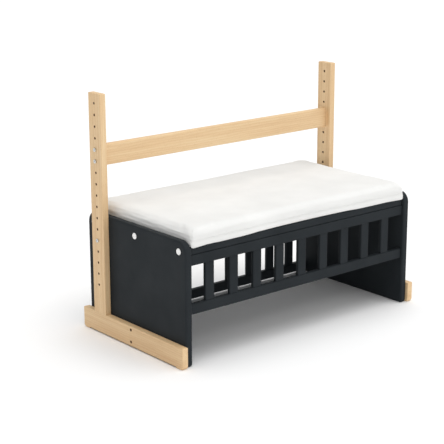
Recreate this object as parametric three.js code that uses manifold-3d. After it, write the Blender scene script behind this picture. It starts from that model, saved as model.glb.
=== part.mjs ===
// Children's bench with open toy storage: two solid end panels joined by slatted frames and a
// seat board, a loose seat mattress, and a stand of two feet, two posts and a backrest rail.
// Millimetres. X runs along the bench, Y from front to back, Z up. The origin is on the floor,
// midway between the ends and midway between front and back.
import * as THREE from "three";
import { mergeVertices } from "three/addons/utils/BufferGeometryUtils.js";
import Module from "manifold-3d";

const wasm = await Module();
wasm.setup();

// ---- Driving dimensions -------------------------------------------------------------------

const innerLength = 905; // clear length between the end panels
const dryGap = 0.3; // gap left at every joint between two pieces

const panelDepth = 500; // end panel, front to back
const panelHeight = 387;
const panelThickness = 24;
const panelTopRadius = 35;
const panelBottomRadius = 9;
const panelEdge = 6; // rounding along the panel's edges

const seatRailTop = 343; // top of the two rails under the seat board
const frontLowRailBottom = 158.5; // toys go in under this rail
const backLowRailBottom = 8;
const railHeight = 33;
const railThickness = 18;
const railSetback = 9; // from the end panels' edge to the rail's face
const railEdge = 3;
const railTenon = { length: 8, thickness: 10, height: 20 };

const slatCount = 9; // in each of the two frames
const slatWidth = 34;
const slatThickness = 12;
const slatEdge = 3;
const slatTenon = { length: 8, thickness: 7, width: 24 };

const seatBoardThickness = 22;
const seatBoardGap = 1; // shadow gap between the rails and the seat board
const seatBoardSetback = 1; // from the rail's face to the board's edge
const seatBoardEdge = 2;
const seatBoardCorner = 3;

const mattressThickness = 54;
const mattressInset = 8; // from the end panels' front and back edges
const mattressEndGap = 3.5; // to each end panel
const mattressEdge = 12;
const mattressCorner = 26;

const standThickness = 22; // posts and feet, both from the same board
const standEdge = 2.5;
const footHeight = 68;
const footOverhang = 8.5; // past the end panel, at the front and at the back
const footTopRadius = 3.5;
const footBottomRadius = 10;
const footPad = 29; // length that touches the floor at each end
const footRelief = 5; // height of the foot's underside over the floor between the pads
const postTop = 775; // height of the post's top over the floor
const postWidth = 63;
const postInset = 52; // from the post's back face to the end panel's back edge
const postCorner = 3; // at the post's top
const postTenon = { length: 40, thickness: 10, width: 43 };

const holeDiameter = 7; // row of holes for setting the height
const holePitch = 36.3;
const holeTop = 31; // from the post's top to the first hole
const holeFootGap = 90; // at least this far over the foot

const backrestHeight = 66;
const backrestThickness = 22;
const backrestEdge = 3;
const backrestHole = 4; // the upper bolt's hole, counted down from the first, which is 0

const boltDiameter = 6; // all machine bolts
const boltHead = { diameter: 13, thickness: 4, socket: 4, socketDepth: 2.6 };
const boltClearance = 0.35; // between a shank and its hole, all round
const barrelNut = { diameter: 10, length: 14, inset: 38, beyond: 8 };
const sleeveNut = { diameter: 9, length: 16, flange: 16, flangeThickness: 2.4, reach: 13 };
const panelBoltDrop = 30; // the post's bolt into the panel is this far under the seat rails

const seatScrew = { diameter: 6.4, head: 10, headThickness: 4, sunk: 1, grip: 40, socket: 4 };
const seatScrewInset = 32; // from the end panel's front and back edges
const cover = { diameter: 20, height: 3.6, rim: 1.2, stem: 2.6, stemLength: 2 };

const footScrew = { diameter: 4.4, head: 7.6, headThickness: 3.4, sunk: 7, grip: 17, socket: 3 };
const footScrewLow = 17.5; // height of the lower screw
const footScrewMargin = 11; // the upper screw's distance under the foot's top

const roundSegments = 10; // round holes and fasteners
const coverSegments = 16;
const edgeSegments = 2; // each rounded edge
const wideEdgeSegments = 3; // the wider edges of the end panels and the mattress
const cornerSegments = 7; // the wide corners of the end panels and the mattress

// ---- Places that follow from the dimensions -------------------------------------------------

const panelInner = innerLength / 2;
const panelOuter = panelInner + panelThickness;
const standInner = panelOuter + dryGap;
const standOuter = standInner + standThickness;
const frontEdge = -panelDepth / 2;
const railY = panelDepth / 2 - railSetback - railThickness / 2;
const topRailBottom = seatRailTop - railHeight;
const seatBoardBottom = seatRailTop + seatBoardGap;
const seatBoardTop = seatBoardBottom + seatBoardThickness;
const seatScrewZ = seatBoardBottom + seatBoardThickness / 2;
const seatScrewYs = [frontEdge + seatScrewInset, 0, panelDepth / 2 - seatScrewInset];
const postY = panelDepth / 2 - postInset - postWidth / 2;
const postBottom = footHeight + dryGap;
const footScrewZs = [footScrewLow, footHeight - footScrewMargin];
const holeCount = 1 + Math.floor((postTop - holeTop - footHeight - holeFootGap) / holePitch);
const holeZs = Array.from({ length: holeCount }, (_, i) => postTop - holeTop - i * holePitch);
const panelBoltZ = holeZs.find((z) => z <= seatRailTop - panelBoltDrop);
const backrestBoltZs = [holeZs[backrestHole], holeZs[backrestHole + 1]];
const backrestZ = (backrestBoltZs[0] + backrestBoltZs[1]) / 2;
const backrestEnd = standInner - dryGap;
const slatPitch = (innerLength + slatWidth) / (slatCount + 1);
const slatXs = Array.from({ length: slatCount }, (_, i) => (i - (slatCount - 1) / 2) * slatPitch);

// ---- Materials --------------------------------------------------------------------------------

const finish = (color, roughness, metalness = 0) =>
  new THREE.MeshStandardMaterial({ color, roughness, metalness });
const paint = finish(0x34383b, 0.5);
const beech = finish(0xdcc197, 0.6);
const fabric = finish(0xf1f1ee, 0.9);
const zinc = finish(0xb9bcc0, 0.35, 1);
const whitePlastic = finish(0xf7f7f5, 0.45);

// ---- Making and cutting solids ------------------------------------------------------------------

const alongX = new THREE.Matrix4().makeBasis(
  new THREE.Vector3(0, 1, 0), new THREE.Vector3(0, 0, 1), new THREE.Vector3(1, 0, 0));

function toSolid(geometry) {
  const bare = geometry.index ? geometry.toNonIndexed() : geometry.clone();
  bare.deleteAttribute("normal");
  bare.deleteAttribute("uv");
  const merged = mergeVertices(bare, 1e-4);
  const corners = merged.index.array;
  const triangles = [];
  for (let i = 0; i < corners.length; i += 3) {
    const [a, b, c] = [corners[i], corners[i + 1], corners[i + 2]];
    if (a !== b && b !== c && c !== a) triangles.push(a, b, c);
  }
  return new wasm.Manifold(new wasm.Mesh({
    numProp: 3,
    vertProperties: new Float32Array(merged.attributes.position.array),
    triVerts: new Uint32Array(triangles),
  }));
}

function toGeometry(solid) {
  const { vertProperties, triVerts } = solid.getMesh();
  const geometry = new THREE.BufferGeometry();
  geometry.setAttribute("position", new THREE.BufferAttribute(vertProperties, 3));
  geometry.setIndex(new THREE.BufferAttribute(triVerts, 1));
  geometry.computeVertexNormals();
  return geometry;
}

const cut = (solid, cutters) => cutters.reduce((rest, cutter) => rest.subtract(cutter), solid);
const join = (solid, others) => others.reduce((whole, other) => whole.add(other), solid);

// A box given by its centre and its size.
function box(center, size) {
  return toSolid(new THREE.BoxGeometry(...size).translate(...center));
}

// A round hole or rod along an axis, "x" or "y", between two places on that axis.
function rod(axis, from, to, diameter, [u, v]) {
  const geometry = new THREE.CylinderGeometry(
    diameter / 2, diameter / 2, Math.abs(to - from), roundSegments);
  const middle = (from + to) / 2;
  if (axis === "x") geometry.rotateZ(Math.PI / 2).translate(middle, u, v);
  else geometry.translate(u, middle, v);
  return toSolid(geometry);
}

// A rectangle with a radius at each corner: bottom left, bottom right, top right, top left.
function roundedRectangle(width, height, [r0, r1, r2, r3]) {
  const [x, y] = [width / 2, height / 2];
  const shape = new THREE.Shape();
  shape.absarc(-x + r0, -y + r0, r0, Math.PI, 1.5 * Math.PI);
  shape.absarc(x - r1, -y + r1, r1, 1.5 * Math.PI, 2 * Math.PI);
  shape.absarc(x - r2, y - r2, r2, 0, Math.PI / 2);
  shape.absarc(-x + r3, y - r3, r3, Math.PI / 2, Math.PI);
  return shape;
}

// A board centred on the origin, its thickness along Z, with every edge rounded. The corner
// radii are given as for roundedRectangle.
function board(width, height, thickness, radii, edge, bevelSegments, curveSegments) {
  const sharpest = 0.3;
  const inset = radii.map((r) => Math.max(r - edge, sharpest));
  const shape = roundedRectangle(width - 2 * edge, height - 2 * edge, inset);
  return new THREE.ExtrudeGeometry(shape, {
    depth: thickness - 2 * edge,
    bevelEnabled: true,
    bevelSize: edge,
    bevelThickness: edge,
    bevelSegments,
    curveSegments,
  }).translate(0, 0, edge - thickness / 2);
}

// A bar centred on the origin, its length along Z, with its four long edges rounded.
function bar(width, height, length, edge) {
  const shape = roundedRectangle(width, height, [edge, edge, edge, edge]);
  return new THREE.ExtrudeGeometry(shape, {
    depth: length,
    bevelEnabled: false,
    curveSegments: edgeSegments,
  }).translate(0, 0, -length / 2);
}

// A turned piece from its half section, given as [radius, height] pairs from axis to axis.
function turned(section, segments = roundSegments) {
  const points = section.map(([radius, height]) => new THREE.Vector2(radius, height));
  return toSolid(new THREE.LatheGeometry(points, segments));
}

// A six-sided socket, open at the height given and going down from it.
function hexSocket(acrossFlats, top, depth) {
  const radius = acrossFlats / Math.sqrt(3);
  const overrun = 1;
  const geometry = new THREE.CylinderGeometry(radius, radius, depth + overrun, 6);
  return toSolid(geometry.translate(0, top - depth / 2 + overrun / 2, 0));
}

const model = new THREE.Group();

function place(name, geometry, material, position = [0, 0, 0], turn = 0) {
  const mesh = new THREE.Mesh(geometry, material);
  mesh.name = name;
  mesh.position.set(...position);
  mesh.rotation.z = turn;
  model.add(mesh);
}

// Turned pieces are made with their head up along Y; this turn lays the head outwards.
const headOutwards = (side) => (-side * Math.PI) / 2;

// ---- End panels ------------------------------------------------------------------------------

// Where each rail's end stands on the panel, as [Y, height of the rail's centre].
const railEnds = [
  [-railY, topRailBottom + railHeight / 2],
  [-railY, frontLowRailBottom + railHeight / 2],
  [railY, topRailBottom + railHeight / 2],
  [railY, backLowRailBottom + railHeight / 2],
];

function endPanel(side) {
  const radii = [panelBottomRadius, panelBottomRadius, panelTopRadius, panelTopRadius];
  const blank = board(panelDepth, panelHeight, panelThickness, radii, panelEdge,
    wideEdgeSegments, cornerSegments)
    .applyMatrix4(alongX)
    .translate((side * (panelInner + panelOuter)) / 2, 0, panelHeight / 2);
  const faces = [side * (panelInner - 1), side * (panelOuter + 1)];
  const mortiseDepth = railTenon.length + dryGap;
  const mortises = railEnds.map(([y, z]) =>
    box([side * (panelInner + mortiseDepth / 2 - 1), y, z],
      [mortiseDepth + 2, railTenon.thickness + 2 * dryGap, railTenon.height + 2 * dryGap]));
  const seatHoles = seatScrewYs.flatMap((y) => [
    rod("x", ...faces, seatScrew.diameter + 2 * boltClearance, [y, seatScrewZ]),
    rod("x", side * (panelOuter - seatScrew.sunk - seatScrew.headThickness - dryGap), faces[1],
      seatScrew.head + 2 * boltClearance, [y, seatScrewZ]),
  ]);
  const postHoles = [
    rod("x", ...faces, boltDiameter + 2 * boltClearance, [postY, panelBoltZ]),
    rod("x", faces[0], side * (panelInner + sleeveNut.length + dryGap),
      sleeveNut.diameter + 2 * boltClearance, [postY, panelBoltZ]),
  ];
  const footHoles = footScrewZs.map((z) =>
    rod("x", side * (panelOuter - footScrew.grip - dryGap), faces[1],
      footScrew.diameter + 2 * boltClearance, [0, z]));
  return cut(toSolid(blank), [...mortises, ...seatHoles, ...postHoles, ...footHoles]);
}

// ---- Slatted frames and seat board -------------------------------------------------------------

// A rail centred on the origin, with a stub tenon at each end and a mortise for each slat in its
// upper side (facing = 1) or its lower side (facing = -1).
function frameRail(facing) {
  const length = innerLength - 2 * dryGap;
  const blank = bar(railThickness, railHeight, length, railEdge).applyMatrix4(alongX);
  const tenonLength = railTenon.length + dryGap;
  const tenons = [-1, 1].map((side) =>
    box([side * (length / 2 + tenonLength / 2 - 1), 0, 0],
      [tenonLength + 2, railTenon.thickness, railTenon.height]));
  const depth = slatTenon.length + dryGap;
  const mortises = slatXs.map((x) =>
    box([x, 0, facing * (railHeight / 2 - depth / 2 + 1)],
      [slatTenon.width + 2 * dryGap, slatTenon.thickness + 2 * dryGap, depth + 2]));
  return cut(join(toSolid(blank), tenons), mortises);
}

function slat(length) {
  const body = toSolid(bar(slatWidth, slatThickness, length, slatEdge));
  const tenonLength = length + 2 * slatTenon.length;
  return join(body, [box([0, 0, 0], [slatTenon.width, slatTenon.thickness, tenonLength])]);
}

function slattedFrame(name, y, lowRailBottom) {
  const openingBottom = lowRailBottom + railHeight;
  const slatLength = topRailBottom - openingBottom - 2 * dryGap;
  const slatShape = toGeometry(slat(slatLength));
  place(`${name}_top_rail`, toGeometry(frameRail(-1)), paint,
    [0, y, topRailBottom + railHeight / 2]);
  place(`${name}_bottom_rail`, toGeometry(frameRail(1)), paint,
    [0, y, lowRailBottom + railHeight / 2]);
  slatXs.forEach((x, i) => place(`${name}_slat_${i + 1}`, slatShape, paint,
    [x, y, (topRailBottom + openingBottom) / 2]));
}

function seatBoard() {
  const length = innerLength - 2 * dryGap;
  const depth = panelDepth - 2 * (railSetback + seatBoardSetback);
  const radii = Array(4).fill(seatBoardCorner);
  const blank = toSolid(board(length, depth, seatBoardThickness, radii, seatBoardEdge,
    edgeSegments, edgeSegments));
  const reach = seatScrew.grip + dryGap;
  const holes = [-1, 1].flatMap((side) => seatScrewYs.map((y) =>
    rod("x", side * (length / 2 - reach), side * (length / 2 + 1),
      seatScrew.diameter + 2 * boltClearance, [y, 0])));
  return cut(blank, holes);
}

// ---- Fasteners, head up along Y, with the face that the head sits on at height 0 -----------------

function machineBolt(shankLength) {
  const [head, shank, chamfer] = [boltHead.diameter / 2, boltDiameter / 2, 1];
  const bolt = turned([
    [0, -shankLength], [shank - chamfer, -shankLength], [shank, -shankLength + chamfer], [shank, 0],
    [head, 0], [head, boltHead.thickness - chamfer], [head - chamfer, boltHead.thickness],
    [0, boltHead.thickness],
  ]);
  return bolt.subtract(hexSocket(boltHead.socket, boltHead.thickness, boltHead.socketDepth));
}

// A screw with a flat sunk head and a pointed end.
function woodScrew({ diameter, head, headThickness, socket }, shankLength) {
  const point = diameter;
  const screw = turned([
    [0, -shankLength], [diameter / 2, point - shankLength], [diameter / 2, 0], [head / 2, 0],
    [head / 2, headThickness], [0, headThickness],
  ]);
  return screw.subtract(hexSocket(socket, headThickness, headThickness * 0.7));
}

function coverCap() {
  const { diameter, height, rim, stem, stemLength } = cover;
  const radius = diameter / 2;
  const dome = [0.5, 1].map((t) => [
    radius * Math.cos((t * Math.PI) / 2.6), rim + (height - rim) * Math.sin((t * Math.PI) / 2.6)]);
  return turned([
    [0, -stemLength], [stem / 2, -stemLength], [stem / 2, 0], [radius, 0], [radius, rim],
    ...dome, [0, height],
  ], coverSegments);
}

function crossDowel() {
  const { diameter, length } = barrelNut;
  return rod("y", -length / 2, length / 2, diameter, [0, 0])
    .subtract(rod("x", -diameter, diameter, boltDiameter + 2 * boltClearance, [0, 0]));
}

function sleeve() {
  const { diameter, length, flange, flangeThickness, reach } = sleeveNut;
  const bore = boltDiameter / 2 + boltClearance;
  return turned([
    [bore, -length], [diameter / 2, -length], [diameter / 2, 0], [flange / 2, 0],
    [flange / 2, flangeThickness - 1], [flange / 2 - 1, flangeThickness], [0, flangeThickness],
    [0, reach - length], [bore, reach - length], [bore, -length],
  ]);
}

// ---- Stand -----------------------------------------------------------------------------------

function foot(side) {
  const length = panelDepth + 2 * footOverhang;
  const radii = [footBottomRadius, footBottomRadius, footTopRadius, footTopRadius];
  const blank = board(length, footHeight, standThickness, radii, standEdge,
    edgeSegments, edgeSegments)
    .applyMatrix4(alongX)
    .translate((side * (standInner + standOuter)) / 2, 0, footHeight / 2);
  const relief = bar(length - 2 * footPad, 2 * footRelief, standThickness + 2, footRelief)
    .applyMatrix4(alongX)
    .translate((side * (standInner + standOuter)) / 2, 0, 0);
  // The foot's rounded top edges stop at the post, so that post and foot are flush there.
  const postSeatHeight = 2 * standEdge;
  const postSeat = bar(standThickness, postWidth, postSeatHeight, standEdge)
    .translate((side * (standInner + standOuter)) / 2, postY, footHeight - postSeatHeight / 2);
  const depth = postTenon.length + dryGap;
  const mortise = box([(side * (standInner + standOuter)) / 2, postY, footHeight - depth / 2 + 1],
    [postTenon.thickness + 2 * dryGap, postTenon.width + 2 * dryGap, depth + 2]);
  const faces = [side * (standInner - 1), side * (standOuter + 1)];
  const screwHoles = footScrewZs.flatMap((z) => [
    rod("x", ...faces, footScrew.diameter + 2 * boltClearance, [0, z]),
    rod("x", side * (standOuter - footScrew.sunk - footScrew.headThickness - dryGap), faces[1],
      footScrew.head + 2 * boltClearance, [0, z]),
  ]);
  return cut(join(toSolid(blank), [toSolid(postSeat)]), [toSolid(relief), mortise, ...screwHoles]);
}

function post(side) {
  const waste = 20; // sawn off under the post, so that its lower end is square
  const height = postTop - postBottom + waste;
  const radii = [standEdge, standEdge, postCorner, postCorner];
  const blank = board(postWidth, height, standThickness, radii, standEdge,
    edgeSegments, edgeSegments)
    .applyMatrix4(alongX)
    .translate((side * (standInner + standOuter)) / 2, postY, postTop - height / 2);
  const offcut = box([(side * (standInner + standOuter)) / 2, postY, postBottom - waste],
    [2 * standThickness, 2 * postWidth, 2 * waste]);
  const root = 10; // how far the tenon's block reaches up into the post
  const tenon = box(
    [(side * (standInner + standOuter)) / 2, postY, postBottom + (root - postTenon.length) / 2],
    [postTenon.thickness, postTenon.width, postTenon.length + root]);
  const faces = [side * (standInner - 1), side * (standOuter + 1)];
  const holes = holeZs.map((z) => rod("x", ...faces, holeDiameter, [postY, z]));
  return cut(join(toSolid(blank).subtract(offcut), [tenon]), holes);
}

// The backrest rail's bolts run along X through the posts into a barrel nut near each end.
const barrelNutX = backrestEnd - barrelNut.inset;

function backrestRail() {
  const blank = bar(backrestThickness, backrestHeight, 2 * backrestEnd, backrestEdge)
    .applyMatrix4(alongX);
  const boltEnd = barrelNutX - barrelNut.beyond - dryGap;
  const nutBottom = -barrelNut.length / 2 - dryGap;
  const holes = [-1, 1].flatMap((side) => backrestBoltZs.flatMap((z) => [
    rod("x", side * boltEnd, side * (backrestEnd + 1), boltDiameter + 2 * boltClearance,
      [0, z - backrestZ]),
    rod("y", nutBottom, backrestThickness / 2 + 1, barrelNut.diameter + 2 * dryGap,
      [side * barrelNutX, z - backrestZ]),
  ]));
  return cut(toSolid(blank), holes);
}

// ---- Assembly ----------------------------------------------------------------------------------

slattedFrame("front", -railY, frontLowRailBottom);
slattedFrame("back", railY, backLowRailBottom);
place("seat_board", toGeometry(seatBoard()), paint, [0, 0, seatScrewZ]);

const mattress = board(innerLength - 2 * mattressEndGap, panelDepth - 2 * mattressInset,
  mattressThickness, Array(4).fill(mattressCorner), mattressEdge, wideEdgeSegments, cornerSegments);
place("seat_mattress", toGeometry(toSolid(mattress)), fabric,
  [0, 0, seatBoardTop + dryGap + mattressThickness / 2]);

place("backrest_rail", toGeometry(backrestRail()), beech, [0, postY, backrestZ]);

const seatScrewShape = toGeometry(woodScrew(seatScrew,
  panelThickness - seatScrew.sunk - seatScrew.headThickness + dryGap + seatScrew.grip - 1));
const coverShape = toGeometry(coverCap());
const backrestBoltShape = toGeometry(
  machineBolt(standOuter + dryGap - barrelNutX + barrelNut.beyond));
const barrelNutShape = toGeometry(crossDowel());
const postBoltShape = toGeometry(
  machineBolt(standOuter + dryGap - panelInner - sleeveNut.length + sleeveNut.reach - 2));
const sleeveShape = toGeometry(sleeve());
const footScrewShape = toGeometry(woodScrew(footScrew,
  standThickness - footScrew.sunk - footScrew.headThickness + dryGap + footScrew.grip - 1));

for (const [end, side] of [["left", -1], ["right", 1]]) {
  const turn = headOutwards(side);
  place(`${end}_end_panel`, toGeometry(endPanel(side)), paint);
  place(`${end}_foot`, toGeometry(foot(side)), beech);
  place(`${end}_post`, toGeometry(post(side)), beech);
  seatScrewYs.forEach((y, i) => {
    const seat = side * (panelOuter - seatScrew.sunk - seatScrew.headThickness);
    place(`${end}_seat_screw_${i + 1}`, seatScrewShape, zinc, [seat, y, seatScrewZ], turn);
    place(`${end}_screw_cover_${i + 1}`, coverShape, whitePlastic,
      [side * (panelOuter + dryGap), y, seatScrewZ], turn);
  });
  backrestBoltZs.forEach((z, i) => {
    const level = ["upper", "lower"][i];
    place(`${end}_backrest_bolt_${level}`, backrestBoltShape, zinc,
      [side * (standOuter + dryGap), postY, z], turn);
    place(`${end}_barrel_nut_${level}`, barrelNutShape, zinc, [side * barrelNutX, postY, z]);
  });
  place(`${end}_post_bolt`, postBoltShape, zinc,
    [side * (standOuter + dryGap), postY, panelBoltZ], turn);
  place(`${end}_sleeve_nut`, sleeveShape, zinc,
    [side * (panelInner - dryGap), postY, panelBoltZ], headOutwards(-side));
  footScrewZs.forEach((z, i) => {
    const seat = side * (standOuter - footScrew.sunk - footScrew.headThickness);
    place(`${end}_foot_screw_${["lower", "upper"][i]}`, footScrewShape, zinc, [seat, 0, z], turn);
  });
}

export default model;
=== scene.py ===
# Looks of a children's slatted toy storage bench. Metres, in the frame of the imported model.
import math

import bmesh
import bpy
import numpy as np
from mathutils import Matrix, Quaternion, Vector, noise
from mathutils.bvhtree import BVHTree


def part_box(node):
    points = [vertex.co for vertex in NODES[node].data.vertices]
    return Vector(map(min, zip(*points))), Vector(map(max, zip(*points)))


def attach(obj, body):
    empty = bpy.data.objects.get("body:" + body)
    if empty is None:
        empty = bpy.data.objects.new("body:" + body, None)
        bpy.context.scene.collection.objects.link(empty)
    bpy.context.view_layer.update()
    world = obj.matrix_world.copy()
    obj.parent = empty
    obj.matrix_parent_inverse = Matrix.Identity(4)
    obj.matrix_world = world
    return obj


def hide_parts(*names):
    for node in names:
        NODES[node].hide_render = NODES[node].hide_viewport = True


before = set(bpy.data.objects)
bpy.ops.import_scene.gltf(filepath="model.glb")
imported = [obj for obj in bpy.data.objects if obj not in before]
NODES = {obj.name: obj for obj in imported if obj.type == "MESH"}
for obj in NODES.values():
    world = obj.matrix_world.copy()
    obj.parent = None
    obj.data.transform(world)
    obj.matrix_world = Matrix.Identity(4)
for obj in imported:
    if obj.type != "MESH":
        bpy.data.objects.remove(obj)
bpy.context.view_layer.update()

MM = 0.001


# ---- Colours and nodes ----------------------------------------------------------------------

def linear(hex_colour):
    """Turns an sRGB hex colour such as "#3a3e41" to linear RGBA."""
    values = [int(hex_colour[i:i + 2], 16) / 255 for i in (1, 3, 5)]
    return tuple(
        v / 12.92 if v <= 0.04045 else ((v + 0.055) / 1.055) ** 2.4 for v in values
    ) + (1.0,)


def add(tree, kind, inputs=None, **settings):
    """Adds a node. inputs maps a socket's name or number to a value or to an output to link."""
    made = tree.nodes.new(kind)
    for key, value in settings.items():
        setattr(made, key, value)
    for key, value in (inputs or {}).items():
        if isinstance(value, bpy.types.NodeSocket):
            tree.links.new(value, made.inputs[key])
        else:
            made.inputs[key].default_value = value
    return made


def new_material(name):
    """An empty node material with its output, as (material, tree, output)."""
    material = bpy.data.materials.new(name)
    material.use_nodes = True
    tree = material.node_tree
    tree.nodes.clear()
    return material, tree, add(tree, "ShaderNodeOutputMaterial")


def ramp(tree, factor, stops):
    """A colour ramp whose stops are (position, linear colour)."""
    made = add(tree, "ShaderNodeValToRGB", {"Fac": factor})
    elements = made.color_ramp.elements
    while len(elements) < len(stops):
        elements.new(0.5)
    for element, (position, colour) in zip(elements, stops):
        element.position = position
        element.color = colour
    return made.outputs["Color"]


# ---- Charcoal lacquer ---------------------------------------------------------------------------
# A water-based matt lacquer sprayed over sanded board and solid wood: nearly flat colour, hardly
# any shine, a fine orange peel, and on the solid pieces the faintest long grain under the film.

PEEL_SIZE = 2.2 * MM
GRAIN_WIDTH, GRAIN_LENGTH = 2.4 * MM, 120 * MM


def charcoal_lacquer(name, grain_axis=None):
    """grain_axis is the axis along which solid wood's grain runs, or None on board."""
    material, tree, output = new_material(name)
    place = add(tree, "ShaderNodeTexCoord").outputs["Object"]
    cloud = add(tree, "ShaderNodeTexNoise", {"Vector": place, "Scale": 9.0, "Detail": 3.0})
    colour = ramp(tree, cloud.outputs["Fac"],
                  [(0.3, linear("#262a2d")), (0.7, linear("#2c3033"))])
    sheen = add(tree, "ShaderNodeTexNoise", {"Vector": place, "Scale": 28.0, "Detail": 4.0})
    rough = add(tree, "ShaderNodeMapRange", {
        "Value": sheen.outputs["Fac"], "From Min": 0.3, "From Max": 0.7,
        "To Min": 0.36, "To Max": 0.48})
    peel = add(tree, "ShaderNodeTexNoise", {
        "Vector": place, "Scale": 1 / PEEL_SIZE, "Detail": 2.0})
    height = peel.outputs["Fac"]
    if grain_axis is not None:
        stretch = [1 / GRAIN_WIDTH] * 3
        stretch[grain_axis] = 1 / GRAIN_LENGTH
        lengthwise = add(tree, "ShaderNodeMapping", {"Vector": place, "Scale": stretch})
        grain = add(tree, "ShaderNodeTexNoise", {
            "Vector": lengthwise.outputs[0], "Scale": 1.0, "Detail": 3.0})
        height = add(tree, "ShaderNodeMath", {0: peel.outputs["Fac"], 1: grain.outputs["Fac"]},
                     operation="ADD").outputs[0]
    bump = add(tree, "ShaderNodeBump", {
        "Height": height, "Strength": 0.25, "Distance": 0.06 * MM})
    shader = add(tree, "ShaderNodeBsdfPrincipled", {
        "Base Color": colour, "Roughness": rough.outputs[0], "Normal": bump.outputs[0],
        "IOR": 1.5, "Specular IOR Level": 0.05})
    tree.links.new(shader.outputs[0], output.inputs["Surface"])
    return material


# ---- Beech -------------------------------------------------------------------------------------
# Steamed beech, planed and thinly oiled: pale pinkish cream, even growth rings that run as soft
# lines along the board, and short brown ray flecks. The rings are a solid texture round a pith
# outside the board, so end grain shows as arcs.

RING_SPACING = 6 * MM              # real rings are about 2.5 mm apart, drawn wider so that they show
RING_DRIFT = 28 * MM               # how far the rings wander from true circles
BAND_WIDTH, BAND_LENGTH = 22 * MM, 420 * MM
FIBRE_WIDTH, FIBRE_LENGTH = 1.6 * MM, 45 * MM
FLECK_WIDTH, FLECK_LENGTH = 1.1 * MM, 7 * MM
BORE_SHADE_START, BORE_SHADE_END = 0.2 * MM, 1.1 * MM    # where the painted shade round a hole starts to fade, and ends


def shade_bores(tree, split, colour, bores):
    """Paints shade into drilled holes: a dark brown on their walls and on a thin rim round them."""
    radius, first, pitch, count, y = bores
    down = add(tree, "ShaderNodeMath", {0: first + pitch / 2, 1: split["Z"]},
               operation="SUBTRACT").outputs[0]
    turn = add(tree, "ShaderNodeMath", {0: down, 1: pitch}, operation="MODULO").outputs[0]
    rise = add(tree, "ShaderNodeMath", {0: turn, 1: pitch / 2}, operation="SUBTRACT").outputs[0]
    aside = add(tree, "ShaderNodeMath", {0: split["Y"], 1: y}, operation="SUBTRACT").outputs[0]
    offset = add(tree, "ShaderNodeCombineXYZ", {0: aside, 1: rise}).outputs[0]
    away = add(tree, "ShaderNodeVectorMath", {0: offset}, operation="LENGTH").outputs["Value"]
    near = add(tree, "ShaderNodeMapRange", {
        "Value": away, "From Min": radius + BORE_SHADE_START, "From Max": radius + BORE_SHADE_END,
        "To Min": 0.9, "To Max": 0.0}).outputs[0]
    above = add(tree, "ShaderNodeMath", {0: down, 1: 0.0}, operation="GREATER_THAN").outputs[0]
    within = add(tree, "ShaderNodeMath", {0: down, 1: pitch * count},
                 operation="LESS_THAN").outputs[0]
    both = add(tree, "ShaderNodeMath", {0: above, 1: within}, operation="MULTIPLY").outputs[0]
    mask = add(tree, "ShaderNodeMath", {0: near, 1: both}, operation="MULTIPLY").outputs[0]
    # Painted shade: the walls and rims of the holes are mixed toward a dark brown.
    return add(tree, "ShaderNodeMix", {
        0: mask, 6: colour, 7: linear("#5a3c22")}, data_type="RGBA").outputs[2]


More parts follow.
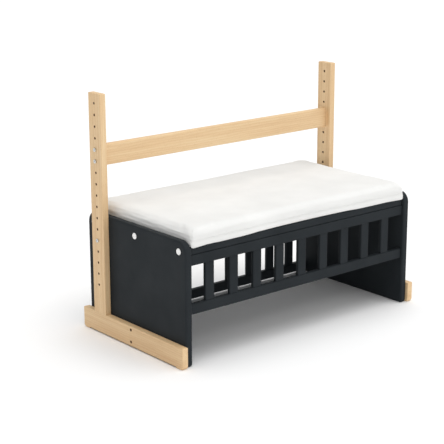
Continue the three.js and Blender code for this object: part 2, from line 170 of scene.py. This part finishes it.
def beech(name, grain_axis, pith, seed, bores=None):
    """bores is (radius, first height, pitch, count, y) of the round holes that run along X, into which
    shade is painted.
    """
    material, tree, output = new_material(name)
    place = add(tree, "ShaderNodeTexCoord").outputs["Object"]
    # Swap the axes so that the grain runs along Z.
    split = add(tree, "ShaderNodeSeparateXYZ", {0: place}).outputs
    across = [i for i in range(3) if i != grain_axis]
    board = add(tree, "ShaderNodeCombineXYZ", {
        0: split[across[0]], 1: split[across[1]], 2: split[grain_axis]}).outputs[0]
    shifted = add(tree, "ShaderNodeMapping", {
        "Vector": board, "Location": (pith[0], pith[1], seed)}).outputs[0]
    wander = add(tree, "ShaderNodeMapping", {"Vector": shifted, "Scale": (9, 9, 2.2)})
    drift = add(tree, "ShaderNodeTexNoise", {
        "Vector": wander.outputs[0], "Scale": 1.0, "Detail": 3.0, "Roughness": 0.45})
    offset = add(tree, "ShaderNodeVectorMath", {
        0: drift.outputs["Color"], 1: (RING_DRIFT, RING_DRIFT, 0.0)},
        operation="MULTIPLY").outputs[0]
    bent = add(tree, "ShaderNodeVectorMath", {0: shifted, 1: offset}, operation="ADD").outputs[0]
    flat = add(tree, "ShaderNodeVectorMath", {0: bent, 1: (1, 1, 0)},
               operation="MULTIPLY").outputs[0]
    radius = add(tree, "ShaderNodeVectorMath", {0: flat}, operation="LENGTH").outputs["Value"]
    turns = add(tree, "ShaderNodeMath", {0: radius, 1: math.tau / RING_SPACING},
                operation="MULTIPLY").outputs[0]
    wave = add(tree, "ShaderNodeMath", {0: turns}, operation="SINE").outputs[0]
    late = add(tree, "ShaderNodeMapRange", {
        "Value": wave, "From Min": -1.0, "From Max": 1.0, "To Min": 0.0, "To Max": 1.0}).outputs[0]
    band_place = add(tree, "ShaderNodeMapping", {
        "Vector": shifted, "Scale": (1 / BAND_WIDTH, 1 / BAND_WIDTH, 1 / BAND_LENGTH)})
    band = add(tree, "ShaderNodeTexNoise", {
        "Vector": band_place.outputs[0], "Scale": 1.0, "Detail": 3.0}).outputs["Fac"]
    fibre_place = add(tree, "ShaderNodeMapping", {
        "Vector": shifted, "Scale": (1 / FIBRE_WIDTH, 1 / FIBRE_WIDTH, 1 / FIBRE_LENGTH)})
    fibre = add(tree, "ShaderNodeTexNoise", {
        "Vector": fibre_place.outputs[0], "Scale": 1.0, "Detail": 4.0}).outputs["Fac"]
    tone = add(tree, "ShaderNodeMath", {0: late, 1: 0.10}, operation="MULTIPLY").outputs[0]
    tone = add(tree, "ShaderNodeMath", {0: band, 1: 0.75, 2: tone},
               operation="MULTIPLY_ADD").outputs[0]
    tone = add(tree, "ShaderNodeMath", {0: fibre, 1: 0.22, 2: tone},
               operation="MULTIPLY_ADD").outputs[0]
    colour = ramp(tree, tone, [(0.34, linear("#ebcfa4")), (0.52, linear("#e4c396")),
                               (0.72, linear("#d9b487"))])
    # Ray flecks: the noise's peaks are about half its own size.
    fleck_place = add(tree, "ShaderNodeMapping", {
        "Vector": shifted, "Scale": (1 / FLECK_WIDTH, 1 / FLECK_WIDTH, 1 / FLECK_LENGTH)})
    fleck = add(tree, "ShaderNodeTexNoise", {
        "Vector": fleck_place.outputs[0], "Scale": 1.0, "Detail": 1.0}).outputs["Fac"]
    mask = add(tree, "ShaderNodeMapRange", {
        "Value": fleck, "From Min": 0.64, "From Max": 0.72, "To Min": 0.0,
        "To Max": 0.32}).outputs[0]
    colour = add(tree, "ShaderNodeMix", {
        0: mask, 6: colour, 7: linear("#a97c4f")}, data_type="RGBA").outputs[2]
    # Painted shade in the drilled holes of the posts and feet.
    if bores:
        colour = shade_bores(tree, split, colour, bores)
    rough = add(tree, "ShaderNodeMapRange", {
        "Value": fibre, "From Min": 0.3, "From Max": 0.7, "To Min": 0.48, "To Max": 0.62})
    bump = add(tree, "ShaderNodeBump", {
        "Height": fibre, "Strength": 0.35, "Distance": 0.12 * MM})
    shader = add(tree, "ShaderNodeBsdfPrincipled", {
        "Base Color": colour, "Roughness": rough.outputs[0],
        "Normal": bump.outputs[0], "IOR": 1.5})
    tree.links.new(shader.outputs[0], output.inputs["Surface"])
    return material


# ---- Cotton cover ---------------------------------------------------------------------------------
# A plain-woven cotton and polyester cover, washed white: matt with a little fuzz at grazing
# angles, with a thread about every half millimetre.

THREAD_SPACING = 1.6 * MM          # three times as coarse as real threads, so that they show


def cotton_cover(name):
    material, tree, output = new_material(name)
    place = add(tree, "ShaderNodeTexCoord").outputs["Object"]
    cloud = add(tree, "ShaderNodeTexNoise", {"Vector": place, "Scale": 7.0, "Detail": 3.0})
    colour = ramp(tree, cloud.outputs["Fac"], [(0.3, linear("#e4e4e2")), (0.7, linear("#ececea"))])
    split = add(tree, "ShaderNodeSeparateXYZ", {0: place}).outputs
    waves = []
    for axis in range(3):
        turns = add(tree, "ShaderNodeMath", {0: split[axis], 1: math.tau / THREAD_SPACING},
                    operation="MULTIPLY")
        waves.append(add(tree, "ShaderNodeMath", {0: turns.outputs[0]},
                         operation="SINE").outputs[0])
    pair = add(tree, "ShaderNodeMath", {0: waves[0], 1: waves[1]}, operation="ADD").outputs[0]
    weave = add(tree, "ShaderNodeMath", {0: pair, 1: waves[2]}, operation="ADD").outputs[0]
    slub = add(tree, "ShaderNodeTexNoise", {
        "Vector": place, "Scale": 1 / (6 * MM), "Detail": 3.0}).outputs["Fac"]
    height = add(tree, "ShaderNodeMath", {0: weave, 1: 0.12, 2: slub},
                 operation="MULTIPLY_ADD").outputs[0]
    bump = add(tree, "ShaderNodeBump", {
        "Height": height, "Strength": 0.5, "Distance": 0.25 * MM})
    shader = add(tree, "ShaderNodeBsdfPrincipled", {
        "Base Color": colour, "Roughness": 0.92, "Normal": bump.outputs[0], "IOR": 1.47,
        "Sheen Weight": 0.06, "Sheen Roughness": 0.5, "Specular IOR Level": 0.2})
    tree.links.new(shader.outputs[0], output.inputs["Surface"])
    return material


# ---- Zinc plate and moulded plastic ------------------------------------------------------------------
# Bright zinc-plated steel: a cool grey metal with fine turning lines and a faint cloudiness.

def zinc_plate(name):
    material, tree, output = new_material(name)
    place = add(tree, "ShaderNodeTexCoord").outputs["Object"]
    cloud = add(tree, "ShaderNodeTexNoise", {"Vector": place, "Scale": 180.0, "Detail": 3.0})
    colour = ramp(tree, cloud.outputs["Fac"],
                  [(0.3, linear("#c6c8c8")), (0.7, linear("#dddcd8"))])
    rough = add(tree, "ShaderNodeMapRange", {
        "Value": cloud.outputs["Fac"], "From Min": 0.3, "From Max": 0.7,
        "To Min": 0.24, "To Max": 0.38})
    scratch = add(tree, "ShaderNodeTexNoise", {
        "Vector": place, "Scale": 1 / (0.5 * MM), "Detail": 2.0})
    bump = add(tree, "ShaderNodeBump", {
        "Height": scratch.outputs["Fac"], "Strength": 0.2, "Distance": 0.03 * MM})
    shader = add(tree, "ShaderNodeBsdfPrincipled", {
        "Base Color": colour, "Metallic": 1.0, "Roughness": rough.outputs[0],
        "Normal": bump.outputs[0]})
    tree.links.new(shader.outputs[0], output.inputs["Surface"])
    return material


# Injection-moulded polypropylene with a lightly sparked surface.

def moulded_plastic(name):
    material, tree, output = new_material(name)
    place = add(tree, "ShaderNodeTexCoord").outputs["Object"]
    spark = add(tree, "ShaderNodeTexNoise", {
        "Vector": place, "Scale": 1 / (0.7 * MM), "Detail": 2.0})
    colour = ramp(tree, spark.outputs["Fac"],
                  [(0.3, linear("#f2f2f0")), (0.7, linear("#fafaf9"))])
    bump = add(tree, "ShaderNodeBump", {
        "Height": spark.outputs["Fac"], "Strength": 0.15, "Distance": 0.03 * MM})
    shader = add(tree, "ShaderNodeBsdfPrincipled", {
        "Base Color": colour, "Roughness": 0.38, "Normal": bump.outputs[0], "IOR": 1.49})
    tree.links.new(shader.outputs[0], output.inputs["Surface"])
    return material


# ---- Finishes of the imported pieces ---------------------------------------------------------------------

PANEL_LACQUER = charcoal_lacquer("charcoal lacquer on board")
RAIL_LACQUER = charcoal_lacquer("charcoal lacquer on beech rails", grain_axis=0)
SLAT_LACQUER = charcoal_lacquer("charcoal lacquer on beech slats", grain_axis=2)
COVER = cotton_cover("white cotton cover")
ZINC = zinc_plate("zinc plate")
PLASTIC = moulded_plastic("white polypropylene")


def middle(name):
    """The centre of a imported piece's box."""
    low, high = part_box(name)
    return (Vector(low) + Vector(high)) / 2


UPPER_BOLT, LOWER_BOLT = middle("left_backrest_bolt_upper"), middle("left_backrest_bolt_lower")
HOLE_PITCH = UPPER_BOLT.z - LOWER_BOLT.z
HOLES_ABOVE, HOLE_COUNT = 4, 17     # over the upper bolt, and in all
POST_HOLE_RADIUS, FOOT_SCREW_RADIUS = 3.5 * MM, 4.2 * MM
POST_BORES = (POST_HOLE_RADIUS, UPPER_BOLT.z + HOLES_ABOVE * HOLE_PITCH, HOLE_PITCH, HOLE_COUNT,
              UPPER_BOLT.y)
UPPER_SCREW, LOWER_SCREW = middle("left_foot_screw_upper"), middle("left_foot_screw_lower")
FOOT_BORES = (FOOT_SCREW_RADIUS, UPPER_SCREW.z, UPPER_SCREW.z - LOWER_SCREW.z, 2, UPPER_SCREW.y)
BEECH = {
    "left_post": beech("oiled beech left post", 2, (0.31, -0.07), 0.4, POST_BORES),
    "right_post": beech("oiled beech right post", 2, (-0.62, -0.11), 2.9, POST_BORES),
    "left_foot": beech("oiled beech left foot", 1, (0.42, 0.035), 5.3, FOOT_BORES),
    "right_foot": beech("oiled beech right foot", 1, (-0.55, 0.05), 7.7, FOOT_BORES),
    "backrest_rail": beech("oiled beech backrest rail", 0, (-0.12, -0.66), 9.1),
}


def finish_for(name):
    """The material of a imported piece, by its name."""
    if name in BEECH:
        return BEECH[name]
    if "cover" in name:
        return PLASTIC
    if "_slat_" in name:
        return SLAT_LACQUER
    if name.endswith("_top_rail") or name.endswith("_bottom_rail"):
        return RAIL_LACQUER
    if name.endswith("end_panel") or name == "seat_board":
        return PANEL_LACQUER
    return ZINC


for name, piece in NODES.items():
    if name == "seat_mattress":
        continue
    piece.data.materials.clear()
    piece.data.materials.append(finish_for(name))
    piece.data.shade_smooth()
    smooth = piece.modifiers.new("even shading", "WEIGHTED_NORMAL")
    smooth.keep_sharp = True
    smooth.weight = 80


# ---- Seat mattress ---------------------------------------------------------------------------------

def new_piece(name, mesh_maker, material):
    """A new object from a bmesh that mesh_maker fills."""
    mesh = bpy.data.meshes.new(name)
    made = bmesh.new()
    mesh_maker(made)
    made.to_mesh(mesh)
    made.free()
    piece = bpy.data.objects.new(name, mesh)
    bpy.context.scene.collection.objects.link(piece)
    mesh.materials.append(material)
    mesh.shade_smooth()
    return piece


# The cover is boxed: sharp corners at the bottom, full soft ones at the top, and a welted seam
# all round, a little under half way up.
LOW, HIGH = (Vector(v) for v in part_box("seat_mattress"))
CENTRE = (LOW + HIGH) / 2
HALF = (HIGH - LOW) / 2
SWELL = 5 * MM                     # how far the filling may push the cover out
TOP_ROLL, BOTTOM_ROLL = 17 * MM, 3 * MM
TOP_CORNER, BOTTOM_CORNER = 32 * MM, 5 * MM
WAIST = 1.5 * MM                   # how far each side pulls in between the corners
SEAM_HEIGHT = 19 * MM              # over the mattress's underside
SEAM_DEPTH, SEAM_REACH = 2.4 * MM, 6 * MM
RIM, RIM_FADE = 26 * MM, 14 * MM   # how near a side the creases reach, and over what they fade
WELT_RADIUS = 1.3 * MM
CREASE = 1.1 * MM
CREASE_WAVES = (9, 95)             # per metre, along a side and up it
FINE_WAVES, FINE_SLANT = (21, 190), 60
END_CREASE = 2.6 * MM              # the cover is pulled together more at its ends
TOP_WAVE, TOP_WAVE_DEPTH = 1.3 * MM, 14 * MM
TOP_WAVES = (5.5, 7.0)             # per metre, along and across
SIDE_CLEARANCE = 0.6 * MM          # to the end panels
SINK = 4 * MM                      # how far its weight presses its underside flat
CROWN = 3 * MM                     # how far the middle stands over the foam's thickness
BULGE = 5 * MM                     # how far the front edge swells toward its two ends
BULGE_REACH = 45 * MM              # from the front edge back
BULGE_START, BULGE_GROWTH = 0.08, 0.5  # as shares of the way from the middle to an end
LIP_DROP = 7 * MM                  # how far it hangs over the seat board's edge there
LIP_HEIGHT, LIP_START = 16 * MM, 5 * MM
BOARD_GAP = 1 * MM                 # between the hanging edge and the seat board
BOARD_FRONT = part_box("seat_board")[0][1] - BOARD_GAP
VOXEL = 5 * MM
PANEL_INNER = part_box("right_end_panel")[0][0]
FULL_X = PANEL_INNER - SIDE_CLEARANCE
FULL_Y = HALF.y + 1.5 * MM


def rounded_outline(half_x, half_y, radius, corner_steps=8, side_steps=24):
    """Points round a rectangle with round corners, anticlockwise, with its sides pulled in."""
    points = []
    for index, (sx, sy) in enumerate([(1, 1), (-1, 1), (-1, -1), (1, -1)]):
        for step in range(corner_steps + 1):
            angle = (index + step / corner_steps) * math.pi / 2
            points.append((sx * (half_x - radius) + radius * math.cos(angle),
                           sy * (half_y - radius) + radius * math.sin(angle)))
        x0, y0 = points[-1]
        next_x, next_y = [(-1, 1), (-1, -1), (1, -1), (1, 1)][index]
        angle = (index + 1) * math.pi / 2
        x1 = next_x * (half_x - radius) + radius * math.cos(angle)
        y1 = next_y * (half_y - radius) + radius * math.sin(angle)
        for step in range(1, side_steps):
            t = step / side_steps
            pull = WAIST * math.sin(math.pi * t) ** 0.7
            points.append((x0 + (x1 - x0) * t - pull * math.cos(angle),
                           y0 + (y1 - y0) * t - pull * math.sin(angle)))
    return points


def pad_blank(made):
    """The filled cover before it swells: a boxed block with rolled edges."""
    low, high = SWELL * 0.3, 2 * HALF.z - SWELL
    levels = []
    for step in range(5):
        angle = step / 4 * math.pi / 2
        levels.append((low + BOTTOM_ROLL * (1 - math.cos(angle)),
                       BOTTOM_ROLL * (1 - math.sin(angle))))
    for step in range(9):
        angle = step / 8 * math.pi / 2
        levels.append((high - TOP_ROLL * (1 - math.sin(angle)),
                       TOP_ROLL * (1 - math.cos(angle))))
    rings = []
    for z, inset in levels:
        up = (z - low) / (high - low)
        radius = BOTTOM_CORNER + (TOP_CORNER - BOTTOM_CORNER) * up ** 3
        outline = rounded_outline(HALF.x - SWELL * 0.6 - inset, HALF.y - SWELL * 0.6 - inset,
                                  max(radius - inset * 0.4, 2 * MM))
        rings.append([made.verts.new((CENTRE.x + x, CENTRE.y + y, LOW.z + z))
                      for x, y in outline])
    for lower, upper in zip(rings, rings[1:]):
        for i in range(len(lower)):
            j = (i + 1) % len(lower)
            made.faces.new((lower[i], lower[j], upper[j], upper[i]))
    made.faces.new(reversed(rings[0]))
    made.faces.new(rings[-1])


def apply_modifiers(piece):
    """Replaces the piece's mesh with its evaluated mesh and drops its modifiers."""
    graph = bpy.context.evaluated_depsgraph_get()
    mesh = bpy.data.meshes.new_from_object(piece.evaluated_get(graph))
    piece.modifiers.clear()
    piece.data = mesh
    mesh.shade_smooth()


def points_of(piece):
    """The piece's vertices as an array, one row each."""
    flat = np.empty(3 * len(piece.data.vertices))
    piece.data.vertices.foreach_get("co", flat)
    return flat.reshape(-1, 3)


def set_points(piece, points):
    piece.data.vertices.foreach_set("co", points.ravel())
    piece.data.update()


def remesh(piece, voxel):
    """Gives the piece an even mesh of about the voxel's size."""
    even = piece.modifiers.new("even mesh", "REMESH")
    even.mode = "VOXEL"
    even.voxel_size = voxel
    apply_modifiers(piece)


def inflate(piece, pressure, cap, frames=20):
    """Swells the piece as cloth and keeps each point within cap of where it started."""
    start = points_of(piece)
    cloth = piece.modifiers.new("inflation", "CLOTH")
    cloth.settings.use_pressure = True
    cloth.settings.uniform_pressure_force = pressure
    cloth.settings.effector_weights.gravity = 0
    for frame_number in range(1, frames + 1):
        bpy.context.scene.frame_set(frame_number)
    apply_modifiers(piece)
    bpy.context.scene.frame_set(1)
    move = points_of(piece) - start
    length = np.linalg.norm(move, axis=1, keepdims=True)
    set_points(piece, start + move * np.minimum(1.0, cap / np.maximum(length, 1e-9)))


def subdivide(piece):
    """Halves the piece's mesh spacing once."""
    finer = piece.modifiers.new("finer", "SUBSURF")
    finer.levels = 1
    apply_modifiers(piece)


def shape_cover(points):
    """Presses the seam in, creases the sides and waves the top a little."""
    shaped = points.copy()
    half = np.array([HALF.x, HALF.y])
    seam_z = LOW.z + SEAM_HEIGHT
    for index, (x, y, z) in enumerate(points):
        to_edge = half - np.abs((x - CENTRE.x, y - CENTRE.y))
        if to_edge.min() < RIM and z > LOW.z + 2 * MM:
            # Along the nearer side, with the outward direction across it.
            on_end = to_edge[0] < to_edge[1]
            outward = np.array([np.sign(x - CENTRE.x), 0]) if on_end else np.array(
                [0, np.sign(y - CENTRE.y)])
            along = y if on_end else x
            fade = min(1.0, max(0.0, (RIM - to_edge.min()) / RIM_FADE))
            groove = SEAM_DEPTH * math.exp(-((z - seam_z) / (SEAM_REACH / 2)) ** 2)
            # Long shallow creases with finer ones that slant across them.
            crease = noise.noise(Vector((
                along * CREASE_WAVES[0], z * CREASE_WAVES[1], 3.1 + 5 * on_end)))
            crease += 0.5 * noise.noise(Vector((
                along * FINE_WAVES[0] + z * FINE_SLANT, z * FINE_WAVES[1], 8.7)))
            above = min(1.0, max(0.0, (z - seam_z) / SEAM_REACH))
            depth = (crease - 0.5) * END_CREASE if on_end else crease * CREASE
            push = depth * fade * above - groove
            shaped[index, :2] += outward * push
        if z > HIGH.z - TOP_WAVE_DEPTH:
            wave = noise.noise(Vector((x * TOP_WAVES[0], y * TOP_WAVES[1], 1.3)))
            shaped[index, 2] += TOP_WAVE * wave
    return shaped


def settle(points):
    """Fills the width between the end panels and rests flat on the seat board."""
    points -= (points.max(axis=0) + points.min(axis=0)) / 2
    full = np.array([FULL_X, FULL_Y, HALF.z + (CROWN + SINK) / 2])
    points *= full / points.max(axis=0)
    points += np.array(CENTRE) + (0, 0, (CROWN - SINK) / 2)
    points[:, 2] = np.maximum(points[:, 2], LOW.z)
    return points


def smoothstep(values):
    """Eases from 0 to 1, held at both ends."""
    t = np.clip(values, 0.0, 1.0)
    return t * t * (3 - 2 * t)


def hang_front(points):
    """Swells the front edge toward its ends, where it hangs a little over the seat board."""
    share = np.abs(points[:, 0] - CENTRE.x) / HALF.x
    toward_end = smoothstep((share - BULGE_START) / BULGE_GROWTH)
    front = smoothstep((CENTRE.y - HALF.y + BULGE_REACH - points[:, 1]) / BULGE_REACH)
    points[:, 1] -= BULGE * toward_end * front
    over = smoothstep((BOARD_FRONT - points[:, 1]) / LIP_START)
    low = smoothstep((LOW.z + LIP_HEIGHT - points[:, 2]) / LIP_HEIGHT)
    points[:, 2] -= LIP_DROP * toward_end * over * low
    return points


def keep_clear(points):
    """Holds the cover between the end panels and above the seat board."""
    points[:, 0] = np.clip(points[:, 0], CENTRE.x - FULL_X, CENTRE.x + FULL_X)
    on_board = points[:, 1] > BOARD_FRONT
    points[on_board, 2] = np.maximum(points[on_board, 2], LOW.z)
    return points


cover = new_piece("mattress_cover", pad_blank, COVER)
remesh(cover, VOXEL)
inflate(cover, pressure=4.0, cap=SWELL)
subdivide(cover)
shaped = shape_cover(settle(points_of(cover)))
set_points(cover, keep_clear(hang_front(shaped)))


def seam_path(tree, height, steps=720):
    """Points on the cover's surface all round, at a height over the floor."""
    path = []
    for index in range(steps):
        angle = index / steps * math.tau
        # Rays start outside a stretched circle, so that they meet the long sides evenly too.
        aim = Vector((CENTRE.x + 0.75 * HALF.x * math.cos(angle),
                      CENTRE.y + 0.55 * HALF.y * math.sin(angle), height))
        start = aim + Vector((math.cos(angle) / HALF.y, math.sin(angle) / HALF.x, 0)) * 0.6
        hit = tree.ray_cast(start, (aim - start).normalized())[0]
        if hit is not None:
            path.append(hit)
    return path


def welt_along(path, radius, sides=8):
    """Fills a bmesh with a closed round cord along the path."""
    def fill(made):
        rings = []
        count = len(path)
        for index in range(count):
            ahead = path[(index + 1) % count] - path[index - 1]
            outward = Vector((ahead.y, -ahead.x, 0)).normalized()
            rings.append([made.verts.new(
                path[index] + outward * radius * math.cos(k / sides * math.tau)
                + Vector((0, 0, 1)) * radius * math.sin(k / sides * math.tau))
                for k in range(sides)])
        for index in range(count):
            here, there = rings[index], rings[(index + 1) % count]
            for k in range(sides):
                made.faces.new((here[k], here[(k + 1) % sides],
                                there[(k + 1) % sides], there[k]))
        bmesh.ops.recalc_face_normals(made, faces=made.faces)
    return fill


surface = BVHTree.FromPolygons(
    [v.co for v in cover.data.vertices], [p.vertices for p in cover.data.polygons])
welt = new_piece("mattress_welt", welt_along(
    seam_path(surface, LOW.z + SEAM_HEIGHT), WELT_RADIUS), COVER)

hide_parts("seat_mattress")
for piece in (cover, welt):
    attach(piece, "mattress")


# ---- Floor, light and camera -------------------------------------------------------------------------

SKY_LEVEL, HORIZON_GLOW = 0.60, 0.40
SKY_TILT = (0.26, -0.20, 0.17)     # brighter to the right, to the front and above
LAMP, LAMP_ANGLE = 0.42, 60
LAMP_FROM = (0.05, -0.13, 0.95)

floor_material, tree, output = new_material("white paper floor")
place = add(tree, "ShaderNodeTexCoord").outputs["Object"]
dust = add(tree, "ShaderNodeTexNoise", {"Vector": place, "Scale": 3.0, "Detail": 2.0})
shader = add(tree, "ShaderNodeBsdfPrincipled", {
    "Base Color": ramp(tree, dust.outputs["Fac"],
                       [(0.0, linear("#fbfbfb")), (1.0, linear("#fdfdfd"))]),
    "Roughness": 0.9, "Specular IOR Level": 0.0})
tree.links.new(shader.outputs[0], output.inputs["Surface"])


def floor_disc(made):
    """A wide disc, so that every view from above the floor sees only the floor."""
    reach, sides = 80.0, 64
    ring = [made.verts.new((reach * math.cos(k / sides * math.tau),
                            reach * math.sin(k / sides * math.tau), 0.0))
            for k in range(sides)]
    made.faces.new(ring)


floor = new_piece("studio_floor", floor_disc, floor_material)

# One broad lamp hangs overhead, a little in front. The room is brightest at the right, in front
# and above, so the left faces are the darkest, and it is white at the horizon, where the floor ends.
world = bpy.data.worlds.new("studio")
bpy.context.scene.world = world
world.use_nodes = True
sky = world.node_tree
direction = add(sky, "ShaderNodeTexCoord").outputs["Generated"]
height = add(sky, "ShaderNodeSeparateXYZ", {0: direction}).outputs["Z"]
glow = add(sky, "ShaderNodeMapRange", {
    "Value": height, "From Min": 0.02, "From Max": 0.30, "To Min": HORIZON_GLOW, "To Max": 0.0},
    interpolation_type="SMOOTHSTEP").outputs[0]
tilt = add(sky, "ShaderNodeVectorMath", {0: direction, 1: SKY_TILT},
           operation="DOT_PRODUCT").outputs["Value"]
level = add(sky, "ShaderNodeMath", {0: tilt, 1: SKY_LEVEL}, operation="ADD").outputs[0]
level = add(sky, "ShaderNodeMath", {0: level, 1: glow}, operation="ADD").outputs[0]
sky.links.new(level, sky.nodes["Background"].inputs["Strength"])
sky.nodes["Background"].inputs["Color"].default_value = linear("#ffffff")

lamp = bpy.data.lights.new("broad lamp", "SUN")
lamp.energy = LAMP * math.pi
lamp.angle = math.radians(LAMP_ANGLE)
lamp_object = bpy.data.objects.new("broad lamp", lamp)
bpy.context.scene.collection.objects.link(lamp_object)
lamp_object.rotation_euler = Vector(LAMP_FROM).to_track_quat("Z", "Y").to_euler()

AIM = Vector((-0.1092, 0.0259, 0.3286))
AZIMUTH, ELEVATION, ROLL = math.radians(-39.73), math.radians(15.36), math.radians(-0.18)
DISTANCE = 4.233
back = Vector((math.sin(AZIMUTH) * math.cos(ELEVATION),
               -math.cos(AZIMUTH) * math.cos(ELEVATION), math.sin(ELEVATION)))
camera_data = bpy.data.cameras.new("camera")
camera_data.sensor_width = 36
camera_data.lens = 106.06
camera_data.clip_end = 200
camera = bpy.data.objects.new("camera", camera_data)
bpy.context.scene.collection.objects.link(camera)
camera.location = AIM + back * DISTANCE
camera.rotation_mode = "QUATERNION"
camera.rotation_quaternion = back.to_track_quat("Z", "Y") @ Quaternion((0, 0, 1), ROLL)
bpy.context.scene.camera = camera
bpy.context.scene.view_settings.view_transform = "Standard"
